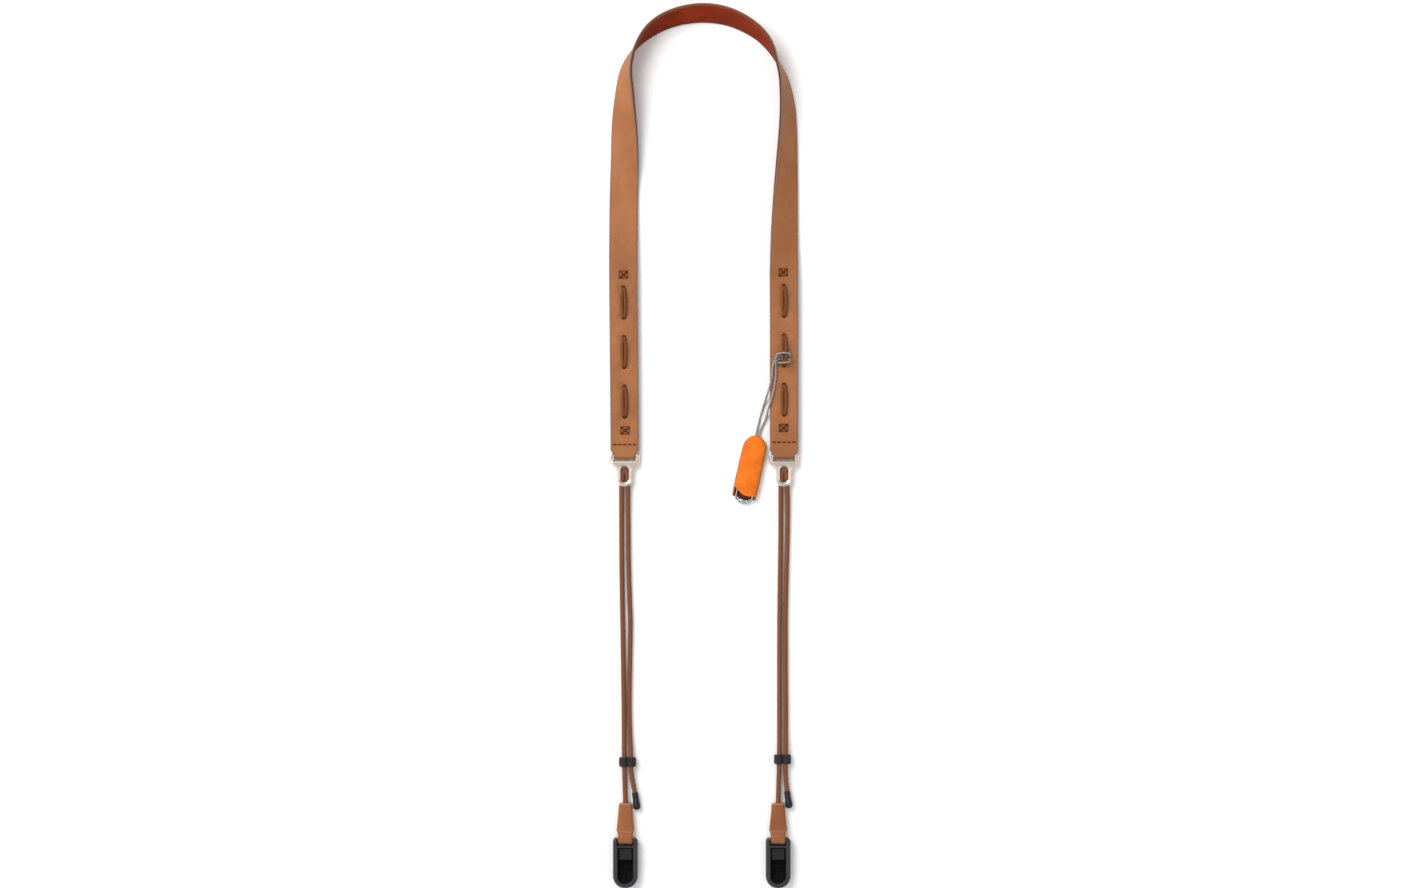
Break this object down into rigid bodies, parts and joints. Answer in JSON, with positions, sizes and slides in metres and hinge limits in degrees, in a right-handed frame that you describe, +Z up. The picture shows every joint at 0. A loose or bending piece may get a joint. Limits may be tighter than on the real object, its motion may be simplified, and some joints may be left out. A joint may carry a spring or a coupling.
{
  "type": "camera neck strap",
  "caption": "Camera neck strap laid flat: lined leather neck band, metal yokes, round cords with sliders, leather tabs, moulded connectors and a small leather pouch.",
  "frame": {"origin": "middle of the strap's box, on the surface that it lies on, measured without the free cords and what is on them", "axes": "+Z up out of the surface, +Y from the connectors towards the neck arch, +X to the right as the picture shows it"},
  "size_m": [0.1345, 0.6247, 0.0201],
  "materials": {
    "tan_leather": "smooth vegetable tanned leather with burnished edges",
    "rust_lining": "rust coloured suede lining",
    "brown_lace": "waxed round cord",
    "satin_nickel": "satin nickel casting",
    "brown_cord": "braided round cord",
    "grey_plastic": "dark grey moulded plastic with a fine texture",
    "black_plastic": "black moulded plastic, satin",
    "orange_leather": "soft dyed leather",
    "flecked_cord": "thin grey cord with dark flecks",
    "steel": "bright steel"
  },
  "bodies": {
    "root": {"strap_leather": "tan_leather", "strap_lining": "rust_lining", "lacing_left": "brown_lace", "lacing_right": "brown_lace", "yoke_left": "satin_nickel", "yoke_right": "satin_nickel", "cord_left": "brown_cord", "cord_right": "brown_cord", "slider_left": "grey_plastic", "slider_right": "grey_plastic", "end_cap_left": "black_plastic", "end_cap_right": "black_plastic", "tab_left": "tan_leather", "tab_right": "tan_leather", "connector_left": "black_plastic", "connector_right": "black_plastic", "pouch": "orange_leather", "pouch_cord": "flecked_cord", "tool_loop": "steel", "tool_barrel": "steel"}
  },
  "joints": []
}
